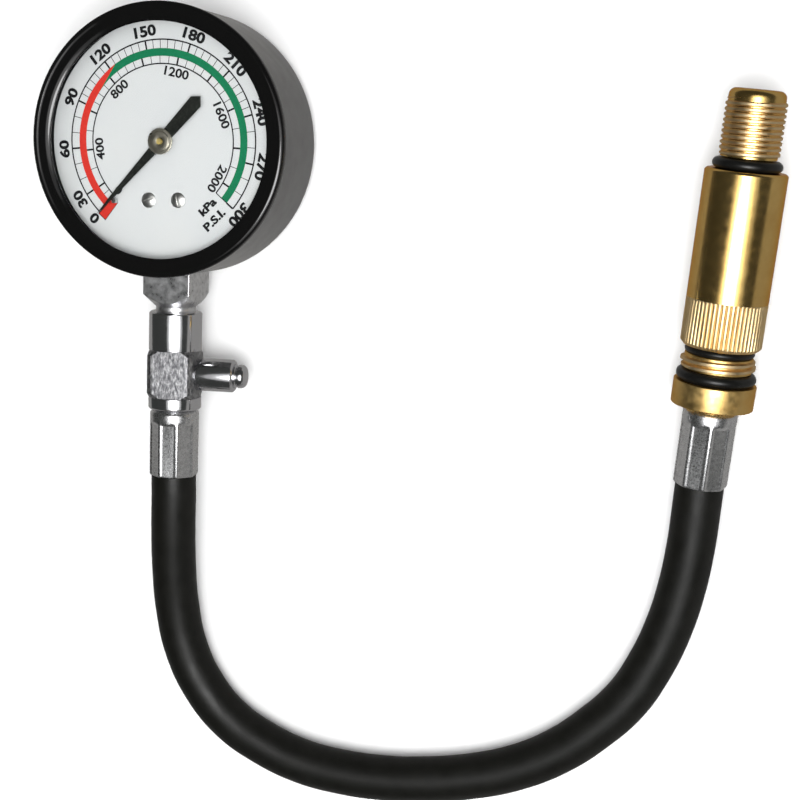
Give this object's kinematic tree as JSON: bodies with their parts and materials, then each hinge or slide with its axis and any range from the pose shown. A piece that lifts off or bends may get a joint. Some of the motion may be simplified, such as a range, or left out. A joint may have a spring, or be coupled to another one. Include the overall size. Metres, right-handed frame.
{
  "type": "compression tester",
  "caption": "Round dial gauge with a press-button relief valve on its stem, a rubber hose laid in a U, and a straight brass adaptor with two screw threads for spark plug holes.",
  "frame": {"origin": "centre of the gauge case's back face, which lies on the table", "axes": "+Z out of the dial, -Y along the gauge's stem towards the hose, +X to the right seen from the front"},
  "size_m": [0.1866, 0.2062, 0.0261],
  "materials": {
    "black_paint": "satin black stove enamel",
    "black_gloss": "gloss black enamel",
    "glass": "clear polished glass",
    "black_rubber": "smooth moulded rubber",
    "hose_rubber": "extruded rubber with a soft sheen",
    "dial_white": "matt white enamel with printed scales",
    "nickel": "nickel plated",
    "pointer_black": "black enamel",
    "hub_brass": "turned pale brass",
    "brass": "bright turned brass",
    "steel": "plain steel",
    "chrome": "chrome plated brass",
    "zinc_steel": "zinc plated, crimped"
  },
  "bodies": {
    "tester": {"case": "black_paint", "case_screws": "steel", "bezel": "black_gloss", "lens": "glass", "lens_gasket": "black_rubber", "dial_plate": "dial_white", "dial_screws": "nickel", "stop_pin": "nickel", "movement_back_plate": "brass", "movement_front_plate": "brass", "movement_pillars": "brass", "movement_screws": "steel", "hairspring": "steel", "bourdon_tube": "brass", "socket_stem": "chrome", "valve_body": "chrome", "relief_barrel": "chrome", "relief_spring": "steel", "gauge_ferrule": "zinc_steel", "gauge_nipple": "brass", "hose": "hose_rubber", "far_ferrule": "zinc_steel", "adaptor_fitting": "brass", "big_seal_ring": "black_rubber", "spigot_seal_ring": "black_rubber", "check_body": "brass", "check_spring": "steel"},
    "pointer": {"pointer": "pointer_black", "pointer_hub": "hub_brass", "pinion_shaft": "brass"},
    "sector": {"sector_gear": "brass", "sector_arbor": "steel"},
    "link": {"link": "steel"},
    "tube_end": {"bourdon_tip": "brass"},
    "relief_button": {"relief_button": "chrome", "relief_stem": "brass", "relief_seal": "black_rubber"},
    "check_pin": {"check_pin": "steel", "check_seal": "black_rubber"},
    "sleeve": {"adaptor_sleeve": "brass", "tip_seal_ring": "black_rubber"}
  },
  "joints": [
    {"name": "pointer_turn", "type": "hinge", "parent": "tester", "child": "pointer", "pos_m": [0, 0, 0.0226], "axis": [0, 0, -1], "range_deg": [0, 268], "stiffness_Nm_per_rad": 0.0002, "deforming": ["hairspring"]},
    {"name": "sector_turn", "type": "hinge", "parent": "tester", "child": "sector", "pos_m": [0.00924, -0.01232, 0.0158], "axis": [0, 0, 1], "range_deg": [0, 26.8]},
    {"name": "link_turn", "type": "hinge", "parent": "sector", "child": "link", "pos_m": [0.01204, -0.01873, 0.0167], "axis": [0, 0, 1], "range_deg": [-26.8, 0]},
    {"name": "tube_end_slide", "type": "slide", "parent": "tester", "child": "tube_end", "axis": [0.8, 0.6, 0], "range_m": [0, 0.00325], "deforming": ["bourdon_tube"]},
    {"name": "relief_press", "type": "slide", "parent": "tester", "child": "relief_button", "axis": [-0.9903, 0, 0.1392], "range_m": [0, 0.0022], "stiffness_N_per_m": 1500, "springref_m": -0.001, "deforming": ["relief_spring"]},
    {"name": "check_press", "type": "slide", "parent": "tester", "child": "check_pin", "axis": [-0.0765, -0.9946, -0.0698], "range_m": [0, 0.0015], "stiffness_N_per_m": 600, "springref_m": -0.001, "deforming": ["check_spring"]},
    {"name": "sleeve_off", "type": "slide", "parent": "tester", "child": "sleeve", "axis": [0.0765, 0.9946, 0.0698], "range_m": [0, 0.03]}
  ],
  "couplings": [
    {"joint": "sector_turn", "follows": "pointer_turn", "ratio": 0.1},
    {"joint": "link_turn", "follows": "pointer_turn", "ratio": -0.1},
    {"joint": "tube_end_slide", "follows": "pointer_turn", "m_per_rad": 0.000693}
  ]
}
